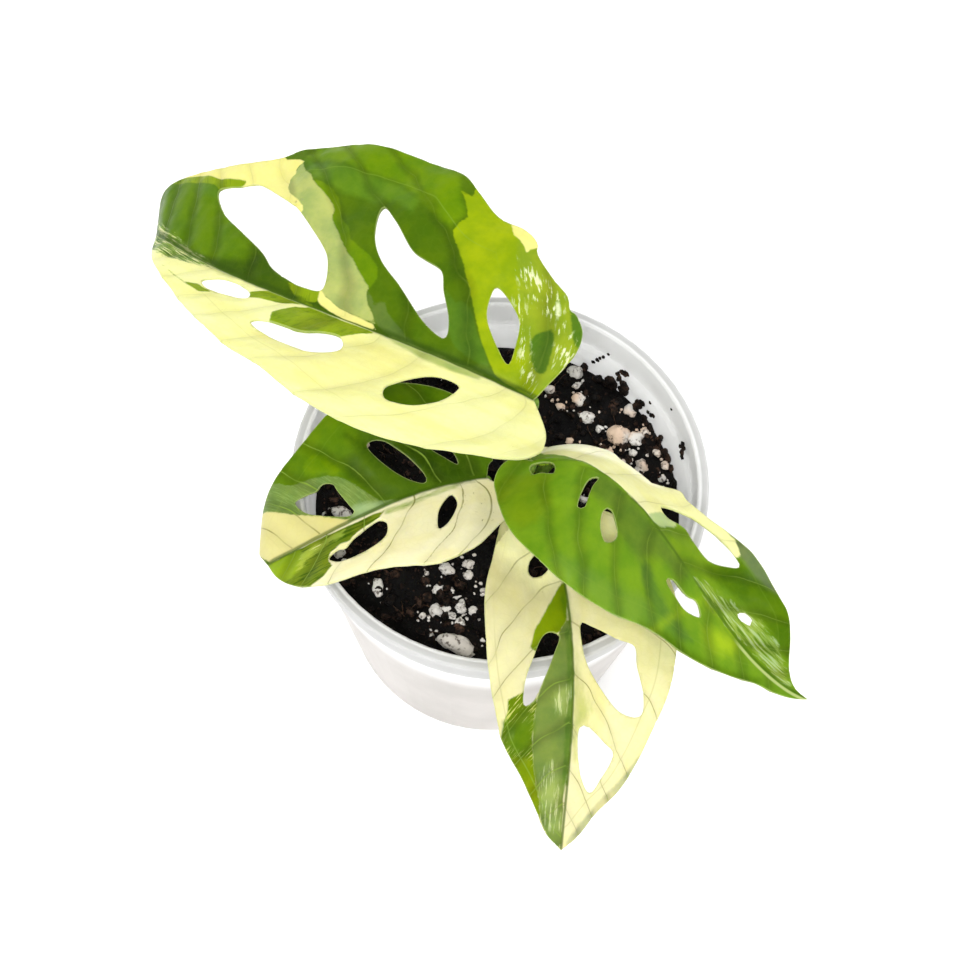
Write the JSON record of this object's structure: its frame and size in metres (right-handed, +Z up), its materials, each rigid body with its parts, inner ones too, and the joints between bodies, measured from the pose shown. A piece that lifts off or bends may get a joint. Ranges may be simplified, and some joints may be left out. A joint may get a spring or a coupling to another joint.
{
  "type": "potted monstera adansonii",
  "caption": "Young variegated monstera adansonii with long, holed leaves in a round, milky nursery pot with a lip and drain holes.",
  "frame": {"origin": "centre of the pot's flat underside, on the surface it stands on", "axes": "+Z up along the pot's axis, -Y towards the viewer of the picture, +X to the viewer's right"},
  "size_m": [0.1607, 0.1525, 0.1411],
  "materials": {
    "pot": "milky translucent",
    "soil": "damp, fibrous",
    "stem": "green, waxy",
    "petiole_top": "green, waxy",
    "petiole_left": "green, waxy",
    "petiole_right": "green, waxy",
    "petiole_front": "green, waxy",
    "leaf_top": "satin leaf, green and cream",
    "leaf_left": "satin leaf, green and cream",
    "leaf_right": "satin leaf, green with a cream edge",
    "leaf_front": "satin leaf, cream with green"
  },
  "bodies": {
    "root": {"pot": "pot", "soil": "soil", "stem": "stem", "petiole_top": "petiole_top", "petiole_left": "petiole_left", "petiole_right": "petiole_right", "petiole_front": "petiole_front", "leaf_top": "leaf_top", "leaf_left": "leaf_left", "leaf_right": "leaf_right", "leaf_front": "leaf_front"}
  },
  "joints": []
}
